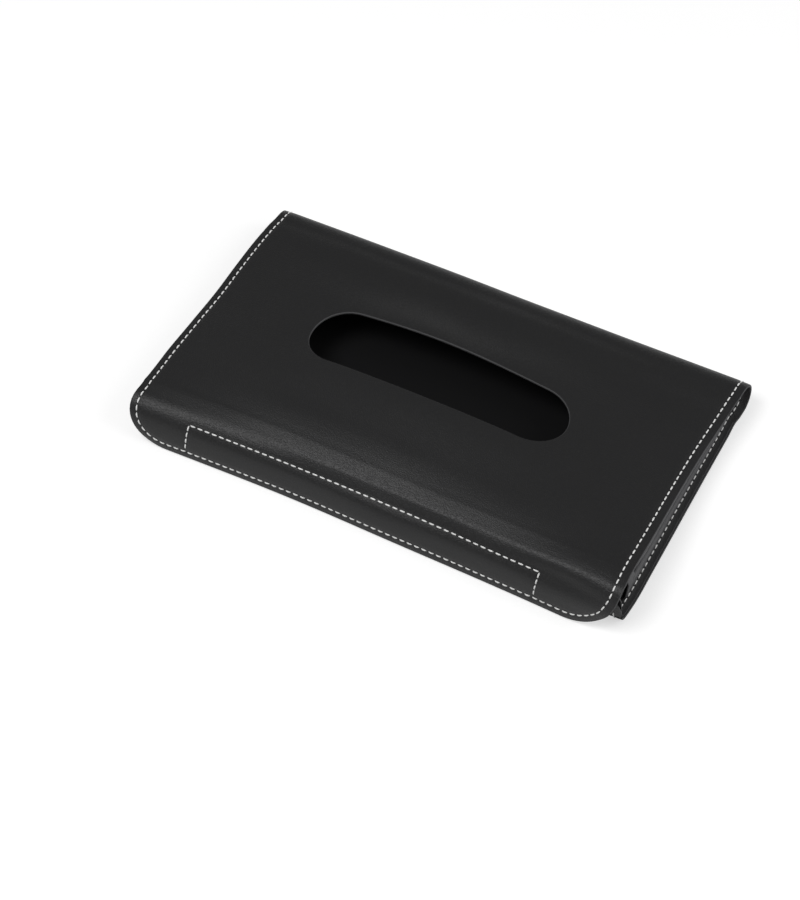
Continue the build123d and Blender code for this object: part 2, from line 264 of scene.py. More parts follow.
# A finished mesh from points in millimetres
def makePiece(name, points, faces, materials, faceSlots=None, normals=None):
    mesh = bpy.data.meshes.new(name)
    mesh.from_pydata((np.asarray(points) * mm).tolist(), [], [tuple(f) for f in np.asarray(faces).tolist()])
    for material in materials:
        mesh.materials.append(material)
    if faceSlots is not None:
        mesh.polygons.foreach_set("material_index", np.asarray(faceSlots, np.int32))
    mesh.shade_smooth()
    if normals is not None:
        mesh.normals_split_custom_set_from_vertices(np.asarray(normals).tolist())
    mesh.update()
    piece = bpy.data.objects.new(name, mesh)
    bpy.context.scene.collection.objects.link(piece)
    return piece


# Faces of a grid of rows by columns, turned outwards
def gridFaces(index):
    a, b = index[:-1, :-1], index[:-1, 1:]
    c, d = index[1:, 1:], index[1:, :-1]
    return np.stack([a, b, c, d], -1).reshape(-1, 4)


# Gives a surface its thickness: the outer face, the inner face the same distance below it, and along
# each open edge a rim that bulges by a half circle, but stays flat where keepFlat says that the
# sheet goes on in the next piece.
def thicken(outer, normals, faces, thickness, bulge, keepFlat=None, rimSteps=4):
    faces = faces[[len(set(f)) > 2 for f in faces.tolist()]]
    count = len(outer)
    edges = np.concatenate([faces[:, [0, 1]], faces[:, [1, 2]], faces[:, [2, 3]], faces[:, [3, 0]]])
    edges = edges[edges[:, 0] != edges[:, 1]]
    keys = edges[:, 0] * count + edges[:, 1]
    back = edges[:, 1] * count + edges[:, 0]
    rim = edges[~np.isin(keys, back)]
    tangent = np.zeros_like(outer)
    step = unit(outer[rim[:, 1]] - outer[rim[:, 0]])
    np.add.at(tangent, rim[:, 0], step)
    np.add.at(tangent, rim[:, 1], step)
    away = unit(np.cross(unit(tangent), normals))
    edgePoints = np.unique(rim)
    slotOf = np.full(count, -1)
    slotOf[edgePoints] = np.arange(len(edgePoints))
    grow = np.full(count, bulge)
    if keepFlat is not None:
        grow[keepFlat] = 0
    turns = np.linspace(0, np.pi, rimSteps + 1)[1:-1]
    middle = outer - normals * thickness / 2
    rows = [middle[edgePoints] + normals[edgePoints] * thickness / 2 * np.cos(t)
            + away[edgePoints] * (grow[edgePoints] * np.sin(t))[:, None] for t in turns]
    rowNormals = [unit(normals[edgePoints] * np.cos(t) + away[edgePoints] * np.sin(t)) for t in turns]
    points = np.concatenate([outer, outer - normals * thickness] + rows)
    allNormals = np.concatenate([normals, -normals] + rowNormals)
    starts = [np.arange(count)] + [2 * count + k * len(edgePoints) + slotOf for k in range(len(turns))]
    starts.append(np.arange(count) + count)
    rims = [np.stack([above[rim[:, 1]], above[rim[:, 0]], below[rim[:, 0]], below[rim[:, 1]]], -1)
            for above, below in zip(starts[:-1], starts[1:])]
    allFaces = np.concatenate([faces, faces[:, ::-1] + count] + rims)
    slots = np.concatenate([np.zeros(len(faces)), np.ones(len(faces)), np.full(len(rim) * len(rims), 2)])
    return points, allFaces, slots, allNormals


print("side view ready, the leather is", round(float(lipEnd)), "mm long")


# Node groups and small helpers for the materials
def newMaterial(name, color, roughness, **others):
    material = bpy.data.materials.new(name)
    material.use_nodes = True
    shader = material.node_tree.nodes["Principled BSDF"]
    shader.inputs["Base Color"].default_value = (*color, 1)
    shader.inputs["Roughness"].default_value = roughness
    for socket, value in others.items():
        shader.inputs[socket.replace("_", " ")].default_value = value
    return material, material.node_tree.nodes, material.node_tree.links, shader


def newGroup(name, inputs, outputs):
    group = bpy.data.node_groups.new(name, "ShaderNodeTree")
    for socket, (kind, value) in inputs.items():
        made = group.interface.new_socket(socket, in_out="INPUT", socket_type="NodeSocket" + kind)
        if value is not None:
            made.default_value = value
    for socket, kind in outputs.items():
        group.interface.new_socket(socket, in_out="OUTPUT", socket_type="NodeSocket" + kind)
    return group, group.nodes.new("NodeGroupInput"), group.nodes.new("NodeGroupOutput")


grainForm = dict(
    warpScale=420,
    warpReach=0.0009,       # metres
    smoothness=0.35,
    fineScale=2600,
    moundEnd=0.75,
)


# Pebbled grain: rounded cells with creases between them, and finer wrinkles over them. It puts out a
# height and a mask of the creases.
def buildGrain():
    group, inlet, outlet = newGroup(
        "pebble grain",
        dict(Vector=("Vector", None), Cells=("Float", 1600.0), Wrinkles=("Float", 0.35)),
        dict(Height="Float", Crease="Float"),
    )
    nodes, links = group.nodes, group.links
    warp = nodes.new("ShaderNodeTexNoise")
    warp.inputs["Scale"].default_value = grainForm["warpScale"]
    warp.inputs["Detail"].default_value = 2
    shift = nodes.new("ShaderNodeVectorMath")
    shift.operation = "MULTIPLY_ADD"
    shift.inputs[1].default_value = [grainForm["warpReach"]] * 3
    cells = nodes.new("ShaderNodeTexVoronoi")
    cells.feature = "SMOOTH_F1"
    cells.inputs["Smoothness"].default_value = grainForm["smoothness"]
    fine = nodes.new("ShaderNodeTexNoise")
    fine.inputs["Scale"].default_value = grainForm["fineScale"]
    fine.inputs["Detail"].default_value = 3
    mound = nodes.new("ShaderNodeMapRange")
    mound.inputs["From Min"].default_value = 0.0
    mound.inputs["From Max"].default_value = grainForm["moundEnd"]
    mound.inputs["To Min"].default_value = 1.0
    mound.inputs["To Max"].default_value = 0.0
    mound.interpolation_type = "SMOOTHSTEP"
    mix = nodes.new("ShaderNodeMath")
    mix.operation = "MULTIPLY_ADD"
    crease = nodes.new("ShaderNodeMath")
    crease.operation = "SUBTRACT"
    crease.inputs[0].default_value = 1
    links.new(inlet.outputs["Vector"], warp.inputs["Vector"])
    links.new(warp.outputs["Color"], shift.inputs[0])
    links.new(inlet.outputs["Vector"], shift.inputs[2])
    links.new(shift.outputs[0], cells.inputs["Vector"])
    links.new(inlet.outputs["Cells"], cells.inputs["Scale"])
    links.new(inlet.outputs["Vector"], fine.inputs["Vector"])
    links.new(cells.outputs["Distance"], mound.inputs["Value"])
    links.new(fine.outputs["Fac"], mix.inputs[0])
    links.new(inlet.outputs["Wrinkles"], mix.inputs[1])
    links.new(mound.outputs["Result"], mix.inputs[2])
    links.new(mix.outputs[0], outlet.inputs["Height"])
    links.new(mound.outputs["Result"], crease.inputs[1])
    links.new(crease.outputs[0], outlet.inputs["Crease"])
    return group


grainGroup = buildGrain()


def grainedMaterial(name, color, roughness, cells, depth, wrinkles=0.35, **others):
    material, nodes, links, shader = newMaterial(name, color, roughness, **others)
    place = nodes.new("ShaderNodeTexCoord")
    grain = nodes.new("ShaderNodeGroup")
    grain.node_tree = grainGroup
    grain.inputs["Cells"].default_value = cells
    grain.inputs["Wrinkles"].default_value = wrinkles
    bump = nodes.new("ShaderNodeBump")
    bump.inputs["Strength"].default_value = 1
    bump.inputs["Distance"].default_value = depth * mm
    links.new(place.outputs["Object"], grain.inputs["Vector"])
    links.new(grain.outputs["Height"], bump.inputs["Height"])
    links.new(bump.outputs["Normal"], shader.inputs["Normal"])
    return material


# The wave texture runs through this many radians for each unit of its scale times length
waveRate = 20


# Fine woven cloth: two crossed sets of threads, each a wave along one direction. threads counts the
# half waves in a metre.
def wovenMaterial(name, color, roughness, threads, depth):
    material, nodes, links, shader = newMaterial(name, color, roughness)
    place = nodes.new("ShaderNodeTexCoord")
    bump = nodes.new("ShaderNodeBump")
    bump.inputs["Distance"].default_value = depth * mm
    both = nodes.new("ShaderNodeMath")
    both.operation = "MAXIMUM"
    for number, direction in enumerate(("X", "Y")):
        wave = nodes.new("ShaderNodeTexWave")
        wave.bands_direction = direction
        wave.inputs["Scale"].default_value = threads / waveRate * np.pi
        wave.inputs["Distortion"].default_value = 0.6
        links.new(place.outputs["Object"], wave.inputs["Vector"])
        links.new(wave.outputs["Fac"], both.inputs[number])
    links.new(both.outputs[0], bump.inputs["Height"])
    links.new(bump.outputs["Normal"], shader.inputs["Normal"])
    return material


finish = dict(
    leather=grainedMaterial("black leather", (0.0122, 0.0122, 0.0126), 0.43, 2000, 0.065, 0.5,
                            Specular_IOR_Level=0.35),
    # the margin's coat: the black leather with a lighter colour, and that extra lightness is painted sheen
    marginLeatherPaintedSheen=grainedMaterial("margin leather with painted sheen", (0.032, 0.032, 0.033), 0.6, 1500, 0.08),
    cutEdge=newMaterial("cut edge", (0.05, 0.05, 0.052), 0.75)[0],
    lining=newMaterial("black lining", (0.005, 0.005, 0.0053), 0.9, Specular_IOR_Level=0.15)[0],
    gusset=grainedMaterial("grey gusset", (0.062, 0.062, 0.065), 0.62, 1500, 0.08),
    thread=newMaterial("white thread", (0.80, 0.80, 0.79), 0.6)[0],
    elastic=wovenMaterial("black elastic", (0.012, 0.012, 0.013), 0.8, 900, 0.05),
    board=newMaterial("grey board", (0.18, 0.18, 0.18), 0.85)[0],
    foam=newMaterial("grey foam", (0.09, 0.09, 0.09), 0.95)[0],
    magnet=newMaterial("plated magnet", (0.5, 0.5, 0.5), 0.35, Metallic=1.0)[0],
)
print("materials made")


# Grids over the sheet: rows of s by columns of x
gridForm = dict(
    column=1.7,
    plainColumn=1.9,
    plainMargin=12,
    endMargin=7,            # the columns lie closer within this distance of the end
    endColumn=0.7,
    tipColumns=15,
    slotRows=40,            # on each side of the slot, at a spacing of 1
    slotCrowding=1.15,      # above 1, the rows lie closer by the slot
    bowPower=1.5,
    flapCornerRows=19,
    lipCornerRows=8,
    liningCornerRows=15,
    flapRow=1.1,
    rearRow=[1.5, 0.9, 2.2, 0.6, 1.2],      # on the top, the rear fold, the bottom, the lip's bend, the lip
    liningRow=1.3,
    baseLiningRow=[2.4, 0.8, 1.2],          # on the bottom, the lip's bend and the lip
    baseLiningCorner=4.0,
    foamRow=1.6,
    foamFrontRow=2,
)


def roundedRows(corner, steps):
    return corner * (1 - np.cos(np.linspace(0, np.pi / 2, steps)))


def evenRows(low, high, spacing):
    return np.linspace(low, high, max(int(np.ceil((high - low) / spacing)), 2) + 1)


# Rows of s from each place to the next, each stretch with a spacing of its own
def rowsThrough(places, spacings):
    stretches = [evenRows(low, high, spacing)[1:]
                 for low, high, spacing in zip(places[:-1], places[1:], spacings)]
    return np.concatenate([places[:1]] + stretches)


# How far a row reaches at s: the full half length, less what the round corner at the row of s = edge
# takes away
def cornerLimit(s, half, corner, edge, forward):
    near = np.clip((s - edge) * forward, 0, corner)
    return half - corner + np.sqrt(np.clip(corner**2 - (corner - near) ** 2, 0, None))


def endColumns(start, half):
    closer = half - gridForm["endMargin"]
    return rowsThrough((start, closer, half), (gridForm["column"], gridForm["endColumn"]))[1:]


# The front sheet with its slot: one row is doubled along the slot's long axis, and the two copies part
# by the slot's half width at each column, which drags the rows in front of and behind them.
def slottedGrid(inset, slotGrow, rowsInFront, farS, spacing=1.0):
    half = leatherForm["halfLength"] - inset
    straight, radius = leatherForm["slotHalfStraight"], leatherForm["slotRadius"] + slotGrow
    tip = straight + radius
    tipColumns = straight + radius * np.sin(np.linspace(0, np.pi / 2, gridForm["tipColumns"]))
    right = np.concatenate([evenRows(0, straight, gridForm["column"]), tipColumns[1:], endColumns(tip, half)])
    columns = np.concatenate([-right[:0:-1], right])
    beyond = np.clip(np.abs(columns) - straight, 0, radius)
    halfWidth = np.sqrt(np.clip(radius**2 - beyond**2, 0, None))
    startS = rowsInFront[-1]
    even = np.linspace(0, 1, int(gridForm["slotRows"] / spacing))
    share = 1 - (1 - even) ** gridForm["slotCrowding"]
    nearRows = startS + (slotMiddle - halfWidth - startS) * share[1:, None]
    bow = leatherForm["slotBow"] * np.clip(1 - (columns / tip) ** 2, 0, None) ** gridForm["bowPower"]
    bowed = halfWidth + bow
    farRows = farS + (slotMiddle + bowed - farS) * share[::-1, None]
    s = np.concatenate([np.repeat(rowsInFront[:, None], len(columns), 1), nearRows, farRows])
    corner = max(leatherForm["flapCorner"] - inset, 0) if rowsInFront[0] < bendEnd / 2 else 0.0
    x = columns / half * cornerLimit(s, half, corner, rowsInFront[0], 1)
    slitRow = len(rowsInFront) + len(nearRows) - 1
    index = np.arange(x.size).reshape(x.shape)
    shut = np.abs(columns) >= tip - tolerance
    index[slitRow + 1, shut] = index[slitRow, shut]
    faces = np.concatenate([gridFaces(index[: slitRow + 1]), gridFaces(index[slitRow + 1 :])])
    used, faces = np.unique(faces, return_inverse=True)
    return x.reshape(-1)[used], s.reshape(-1)[used], faces.reshape(-1, 4)


def plainGrid(half, rows, corner=0.0):
    inner = half - gridForm["plainMargin"]
    right = np.concatenate([evenRows(0, inner, gridForm["plainColumn"]), endColumns(inner, half)])
    columns = np.concatenate([-right[:0:-1], right])
    s = np.repeat(rows[:, None], len(columns), 1)
    x = columns / half * cornerLimit(s, half, corner, rows[-1], -1)
    return x.reshape(-1), s.reshape(-1), gridFaces(np.arange(x.size).reshape(x.shape))


# The coats are those of the outer face, the inner face and the rim. Where margin is given, a fourth one
# covers the inner face as far from the sheet's edge as margin says; that coat is the black leather made
# lighter, which is painted sheen.
def sheetPiece(name, grid, depth, thickness, coats, bulge=0.3, flatAt=None, margin=None):
    x, s, faces = grid
    normals = skinNormal(x, s)
    depth = depth(x, s) if callable(depth) else depth
    outer = skin(x, s) - normals * np.reshape(depth, (-1, 1))
    keepFlat = None if flatAt is None else np.abs(s - flatAt) < tolerance
    points, faces, parts, turned = thicken(outer, normals, faces, thickness, bulge, keepFlat)
    if margin is not None:
        near = edgeDistance(x, s)[faces % len(x)].mean(1) < margin
        parts[(parts == 1) & near] = 3
    piece = makePiece(name, points, faces, [finish[coat] for coat in coats], parts, turned)
    return piece


def rise(value, low, high):
    return smoothStep((value - low) / (high - low))


slotMiddle = placeOnTop(leatherForm["slotCentre"])
split = placeOnTop(leatherForm["splitPlace"])
thickness = leatherForm["thickness"]

# The gussets: a strip that stands on the bottom's end, folds in once and comes out again under the top
gussetForm = dict(
    frontY=-50.5,
    rearY=53.0,
    thickness=0.8,
    footInset=4.1,          # inwards from the bottom's edge
    lean=-0.9,              # inwards from the straight line between foot and top, at the shoulder;
                            # a value below 0 stands outwards
    shoulder=0.46,          # shares of the height
    crease=0.34,
    upperFold=0.62,
    upperIn=-1.3,           # the same at the upper fold
    creaseDepth=8.0,
    creaseEnd=-44.0,
    creaseRound=9,          # the crease reaches its depth over this length
    topIn=0.4,
    upperInset=2.6,         # inwards from the top's edge
    foldPlaces=[0, 0.30, 0.5, 0.7, 1.0],
    foldRadius=0.05,        # a fold is rounded over this share of the strip's length to either side
    foldSteps=9,
    rowSpacing=1.0,
    points=61,
    edgeBulge=0.15,
)

# The two pieces of leather
flapCorner, lipCorner = leatherForm["flapCorner"], leatherForm["lipCorner"]
flapRows = np.concatenate([roundedRows(flapCorner, gridForm["flapCornerRows"]),
                           evenRows(flapCorner, bendEnd, gridForm["flapRow"])[1:]])
lipRows = lipEnd - roundedRows(lipCorner, gridForm["lipCornerRows"])[::-1]
rearPlaces = (split, topEnd, foldEnd, underEnd, lipStart, lipRows[0])
rearRows = np.concatenate([rowsThrough(rearPlaces, gridForm["rearRow"]), lipRows[1:]])
rearGrid = plainGrid(leatherForm["halfLength"], rearRows, lipCorner)
leatherCoats = ["leather", "lining", "cutEdge"]
coverLeather = sheetPiece("front_leather", slottedGrid(0, 0, flapRows, split), 0, thickness,
                          leatherCoats, leatherForm["edgeBulge"], split)
# The bottom's inner margin gets the lighter leather, whose extra lightness is painted sheen
baseLeather = sheetPiece("rear_leather", rearGrid, 0, thickness, leatherCoats + ["marginLeatherPaintedSheen"],
                         leatherForm["edgeBulge"], split, gussetForm["footInset"])
print("leather made")

# What lies inside the leather. A layer's depth is measured down from the outer face. A ramp is the
# stretch over which a lining goes down to the next depth.
layers = dict(
    gap=0.03,
    lining=0.6,
    liningInset=0.5,
    foamThickness=0.8,
    foamInset=9.0,
    foamSlotInset=6.0,
    foamFrontRows=(5, 8),   # its first rows lie this far behind the front bend
    stripThickness=1.4,
    stripHalfLength=78.5,
    stripHeight=7.4,
    magnetHalfLength=10.0,
    magnetHeight=6.0,
    magnetSpacing=60.0,
    magnetProud=0.02,       # the magnets stand out of the strip this much on each side
    boardStep=1.27,
    lipStep=1.5,
    coverRearInset=3.0,
    baseRearInset=4.0,
    edgeBulge=0.15,
    foamBulge=0.2,
    stripAboveSeam=5.2,
    foamSlack=0.1,
    stripSlack=0.2,
    foamEdgeRamp=(5, 9),
    foamSlotRamp=(2, 6),
    foamFrontRamp=(-2, 5),
    foamRearRamp=5,
    pocketSideRamp=(-0.5, 2),
    pocketLowRamp=(-0.3, 1.2),
    pocketHighRamp=(-0.3, 3),
    boardEdgeRamp=(3.7, 4.5),
    boardRearRamp=6,
    lipRamp=(-2, 1),
    lipEdgeRamp=(1.2, 3.2),
)
underLeather = thickness + layers["gap"]
stripMiddle = leatherForm["seamInset"] + layers["stripAboveSeam"]


# The cover's lining goes down round the foam of the top and round the magnet strip of the flap
def coverLiningDepth(x, s):
    front, rear = layers["foamFrontRamp"], layers["foamRearRamp"]
    overFoam = rise(edgeDistance(x, s), *layers["foamEdgeRamp"])
    overFoam = overFoam * rise(slotDistance(x, s), *layers["foamSlotRamp"])
    overFoam = overFoam * rise(s, bendEnd + front[0], bendEnd + front[1]) * rise(topEnd - rear - s, 0, rear)
    half, low, high = (leatherForm[name] for name in ("pocketHalfLength", "seamInset", "pocketHeight"))
    lowRamp = layers["pocketLowRamp"]
    inPocket = rise(half - np.abs(x - leatherForm["pocketMiddle"]), *layers["pocketSideRamp"])
    inPocket = inPocket * rise(s, low + lowRamp[0], low + lowRamp[1])
    inPocket = inPocket * rise(high - s, *layers["pocketHighRamp"])
    foamDepth = overFoam * (layers["foamThickness"] + layers["foamSlack"])
    return underLeather + foamDepth + inPocket * (layers["stripThickness"] + layers["stripSlack"])


# The base's lining goes up over the board and over the lip's magnet strip
def baseLiningDepth(x, s):
    edge = edgeDistance(x, s)
    overBoard = rise(edge, *layers["boardEdgeRamp"]) * rise(s, foldEnd, foldEnd + layers["boardRearRamp"])
    before, after = layers["lipRamp"]
    onLip = rise(s, underEnd + before, lipStart + after) * rise(edge, *layers["lipEdgeRamp"])
    return underLeather + overBoard * layers["boardStep"] * (1 - onLip) + onLip * layers["lipStep"]


inset = layers["liningInset"]
liningCoats = ["lining", "lining", "cutEdge"]
liningRows = np.concatenate([inset + roundedRows(flapCorner - inset, gridForm["liningCornerRows"]),
                             evenRows(flapCorner, bendEnd, gridForm["liningRow"])[1:]])
liningGrid = slottedGrid(inset, inset, liningRows, topEnd - layers["coverRearInset"], gridForm["liningRow"])
coverLining = sheetPiece("cover_lining", liningGrid, coverLiningDepth, layers["lining"],
                         liningCoats, layers["edgeBulge"])
baseRows = rowsThrough((foldEnd + layers["baseRearInset"], underEnd, lipStart, lipEnd - inset),
                       gridForm["baseLiningRow"])
baseGrid = plainGrid(leatherForm["halfLength"] - inset, baseRows, gridForm["baseLiningCorner"])
# The base lining's margin gets the lighter leather, whose extra lightness is painted sheen
baseLining = sheetPiece("base_lining_sheet", baseGrid, baseLiningDepth, layers["lining"],
                        liningCoats + ["marginLeatherPaintedSheen"], layers["edgeBulge"], margin=gussetForm["footInset"])
foamStart, foamNext = layers["foamFrontRows"]
foamRows = evenRows(bendEnd + foamStart, bendEnd + foamNext, gridForm["foamFrontRow"])
foamGrid = slottedGrid(layers["foamInset"], layers["foamSlotInset"], foamRows, topEnd - layers["foamInset"],
                       gridForm["foamRow"])
coverFoam = sheetPiece("cover_foam", foamGrid, underLeather, layers["foamThickness"], ["foam"] * 3,
                       layers["foamBulge"])
stripX, stripS, stripFaces = plainGrid(layers["stripHalfLength"],
                                       stripMiddle + layers["stripHeight"] * np.array([-0.5, 0, 0.5]))
flapStrip = sheetPiece("flap_strip", (stripX + leatherForm["pocketMiddle"], stripS, stripFaces),
                       underLeather, layers["stripThickness"], ["board"] * 3, 0.0)


def flapMagnets():
    found = []
    for middle in (-layers["magnetSpacing"], 0, layers["magnetSpacing"]):
        x, s = np.meshgrid(middle + np.linspace(-1, 1, 11) * layers["magnetHalfLength"],
                           stripMiddle + np.linspace(-0.5, 0.5, 3) * layers["magnetHeight"])
        normals = skinNormal(x, s).reshape(-1, 3)
        outer = skin(x, s).reshape(-1, 3) - normals * (underLeather - layers["magnetProud"])
        faces = gridFaces(np.arange(x.size).reshape(x.shape))
        magnetThickness = layers["stripThickness"] + 2 * layers["magnetProud"]
        found.append(thicken(outer, normals, faces, magnetThickness, 0.0))
    return joined("flap_magnet_row", found, ["magnet"] * 3)


# Several closed meshes in one piece
def joined(name, parts, coats):
    starts = np.cumsum([0] + [len(part[0]) for part in parts])
    points = np.concatenate([part[0] for part in parts])
    faces = np.concatenate([part[1] + start for part, start in zip(parts, starts)])
    kinds = np.concatenate([part[2] for part in parts])
    normals = np.concatenate([part[3] for part in parts])
    piece = makePiece(name, points, faces, [finish[coat] for coat in coats], kinds, normals)
    return piece


flapMagnetRow = flapMagnets()
print("inner layers made")

# Stitches: short threads at an even pitch along a line on the sheet, arched out of the leather
thread = dict(
    pitch=3.35,
    length=2.5,
    radius=0.34,
    flatness=0.85,          # height of the thread's section as a share of its width
    tip=0.003,              # keeps the closed ends from shrinking to a point
    arch=0.22,
    sunk=0.12,
    rings=7,
    sides=7,
    pocketStart=1.5,        # the pocket's side rows start this far above the seam
)


def alongArc(middleX, middleS, radius, fromTurn, toTurn):
    turn = np.radians(np.linspace(fromTurn, toTurn, 40))
    return np.stack([middleX + radius * np.cos(turn), middleS + radius * np.sin(turn)], -1)


# The seam runs all round the sheet at an even distance from its outline
def outlineSeam():
    half, seam = leatherForm["halfLength"], leatherForm["seamInset"]
    parts = []
    for side, turns in ((1, ((-90, 0), (0, 90))), (-1, ((90, 180), (180, 270)))):
        for low, high in turns:
            atFlap = low in (-90, 180)
            corner = leatherForm["flapCorner"] if atFlap else leatherForm["lipCorner"]
            middleS = corner if atFlap else lipEnd - corner
            parts.append(alongArc(side * (half - corner), middleS, corner - seam, low, high))
    line = np.concatenate(parts + [parts[0][:1]])
    return denser(line)


def denser(line, spacing=0.5):
    steps = np.hypot(*np.diff(line, axis=0).T)
    at = np.concatenate([[0], np.cumsum(steps)])
    wanted = evenRows(0, at[-1], spacing)
    return np.stack([np.interp(wanted, at, line[:, i]) for i in range(2)], -1)


# Centres and directions of the stitches along a line of x and s, at an even pitch in space. inside is
# a function for the depth of the face on which the thread lies, or None for the outer face.
def stitchPlaces(line, inside=None):
    x, s = line.T
    normals = skinNormal(x, s)
    points = skin(x, s)
    if inside is not None:
        points = points - normals * np.reshape(inside(x, s), (-1, 1))
        normals = -normals
    at = np.concatenate([[0], np.cumsum(np.linalg.norm(np.diff(points, axis=0), axis=1))])
    count = int(round(at[-1] / thread["pitch"]))
    middles = (np.arange(count) + 0.5) * at[-1] / count

    def read(values, places):
        return np.stack([np.interp(places, at, values[:, i]) for i in range(values.shape[1])], -1)

    reach = thread["length"] / 2
    ends = read(points, middles - reach), read(points, middles + reach)
    placeS = np.interp(middles, at, s)
    return read(points, middles), unit(ends[1] - ends[0]), unit(read(normals, middles)), placeS


# A thread is a tube whose middle line arches by a parabola and whose radius closes at both ends as a
# half ellipse does
def stitchMesh(places):
    middles, along, up = places[:3]
    up = unit(up - along * np.sum(up * along, -1, keepdims=True))
    side = np.cross(along, up)
    t = -np.cos(np.linspace(0, np.pi, thread["rings"]))
    width = thread["radius"] * np.sqrt(np.clip(1 - t**4, thread["tip"], None))
    height = thread["arch"] * (1 - t**2) - thread["sunk"] * t**2
    turn = np.linspace(0, 2 * np.pi, thread["sides"], endpoint=False)
    forward = np.repeat(t * thread["length"] / 2, len(turn))
    across = np.outer(width, np.cos(turn)).ravel()
    above = (np.outer(width, np.sin(turn)) * thread["flatness"] + height[:, None]).ravel()
    points = (middles[:, None] + along[:, None] * forward[:, None] + side[:, None] * across[:, None]
              + up[:, None] * above[:, None])
    rings, sides = thread["rings"], thread["sides"]
    index = np.arange(rings * sides).reshape(rings, sides)
    wrapped = np.concatenate([index, index[:, :1]], 1)
    faces = gridFaces(wrapped)[:, ::-1]
    caps = [index[0][::-1], index[-1]]
    starts = np.arange(len(middles)) * rings * sides
    allFaces = [(faces[None] + starts[:, None, None]).reshape(-1, 4).tolist()]
    allFaces += [[(cap + start).tolist() for start in starts] for cap in caps]
    return points.reshape(-1, 3), sum(allFaces, [])


def stitchPiece(name, groups):
    points, faces, start = [], [], 0
    for group in groups:
        newPoints, newFaces = stitchMesh(group)
        points.append(newPoints)
        faces += [[i + start for i in face] for face in newFaces]
        start += len(newPoints)
    mesh = bpy.data.meshes.new(name)
    mesh.from_pydata((np.concatenate(points) * mm).tolist(), [], faces)
    mesh.materials.append(finish["thread"])
    mesh.shade_smooth()
    piece = bpy.data.objects.new(name, mesh)
    bpy.context.scene.collection.objects.link(piece)
    return piece


def chosen(places, keep):
    return [values[keep] for values in places]


def pocketSeam():
    half, low, high = (leatherForm[name] for name in ("pocketHalfLength", "seamInset", "pocketHeight"))
    left, right = leatherForm["pocketMiddle"] - half, leatherForm["pocketMiddle"] + half
    start = low + thread["pocketStart"]
    return [denser(np.array(line)) for line in (
        [(left, start), (left, high)], [(left, high), (right, high)], [(right, high), (right, start)])]


# Depth of the innermost face, on which the seam's other side lies
def innermostDepth(x, s):
    onCover = s < (topEnd + foldEnd) / 2
    return np.where(onCover, coverLiningDepth(x, s), baseLiningDepth(x, s)) + layers["lining"]


outerSeam = stitchPlaces(outlineSeam())
innerSeam = stitchPlaces(outlineSeam(), innermostDepth)
pocketRows = [stitchPlaces(line) for line in pocketSeam()]
seamsInFront = [chosen(seam, seam[3] < split) for seam in (outerSeam, innerSeam)]
seamsBehind = [chosen(seam, seam[3] >= split) for seam in (outerSeam, innerSeam)]
frontThread = stitchPiece("front_stitching", seamsInFront + pocketRows)
rearThread = stitchPiece("rear_stitching", seamsBehind)
print("stitches made")


# Profile of the strip by its share t of the length, as (inwards, share of height): up to the shoulder,
# down and in to the crease, up and out to the upper fold, and up. Where the crease has no depth, it lies
# at the shoulder's height. Corners are rounded by a short average.
def gussetProfile(t, depth):
    form = gussetForm
    places = np.array(form["foldPlaces"])
    deep = depth / form["creaseDepth"]
    same = np.ones_like(depth)
    creaseHeight = form["shoulder"] + (form["crease"] - form["shoulder"]) * deep
    creaseIn = form["lean"] * (1 - deep) + depth
    heights = np.stack([0 * same, form["shoulder"] * same, creaseHeight, form["upperFold"] * same, same], -1)
    inwards = np.stack([0 * same, form["lean"] * same, creaseIn, form["upperIn"] * deep,
                        form["topIn"] * same], -1)
    offsets = np.linspace(-1, 1, form["foldSteps"]) * form["foldRadius"]

    def rounded(rows):
        return np.mean([[np.interp(t + o, places, row) for row in rows] for o in offsets], 0)

    return rounded(inwards), rounded(heights)


def gusset(name, side, node):
    form = gussetForm
    y = evenRows(form["frontY"], form["rearY"], form["rowSpacing"])
    t = np.linspace(0, 1, form["points"])
    behindEnd = y - form["creaseEnd"]
    depth = form["creaseDepth"] * np.sqrt(np.clip(behindEnd / form["creaseRound"], 0, 1)) * (behindEnd > 0)
    inward, height = gussetProfile(t, depth)
    footX = leatherForm["bottomHalfLength"] - form["footInset"]
    topX = leatherForm["halfLength"] - form["upperInset"]
    s = placeOnTop(y)
    x = np.full_like(y, side * topX)
    below = coverLiningDepth(side * topX, s)[:, None] + layers["lining"] + form["thickness"] / 2
    under = skin(x, s) - skinNormal(x, s) * below
    low = bottomLow[2] + thickness + layers["lining"] + form["thickness"] / 2
    base = footX + (np.abs(under[:, 0]) - footX)[:, None] * height
    points = np.stack([side * (base - inward), np.repeat(y[:, None], len(t), 1),
                       low + (under[:, 2] - low)[:, None] * height], -1)
    alongY, alongT = np.gradient(points, axis=0), np.gradient(points, axis=1)
    normals = unit(np.cross(alongY, alongT))
    index = np.arange(len(y) * len(t)).reshape(len(y), len(t))
    if side > 0:
        index = index[::-1]
    else:
        normals = -normals
    outerFace = points + normals * form["thickness"] / 2
    points, faces, parts, turned = thicken(outerFace.reshape(-1, 3), normals.reshape(-1, 3), gridFaces(index),
                                           form["thickness"], form["edgeBulge"])
    coats = [finish[coat] for coat in ("gusset", "gusset", "cutEdge")]
    piece = makePiece(name, points, faces, coats, parts, turned)
    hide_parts(node)
    return piece


gussets = [gusset("right_gusset", 1, "gusset_right"), gusset("left_gusset", -1, "gusset_left")]
print("gussets made")

# The elastic bands: flat under the bottom, up through its slits and folded back inside. Each is a strip
# carried along a path with round corners, with ribs along it.
bandForm = dict(
    thickness=1.0,
    cornerRadius=0.52,
    tail=10.0,
    ribPitch=1.25,
    ribHeight=0.09,
    columnsPerRib=6,
    edgeRound=0.35,
    edgeWidth=0.8,
    edgeBulge=0.12,
    rowSpacing=1.5,
)


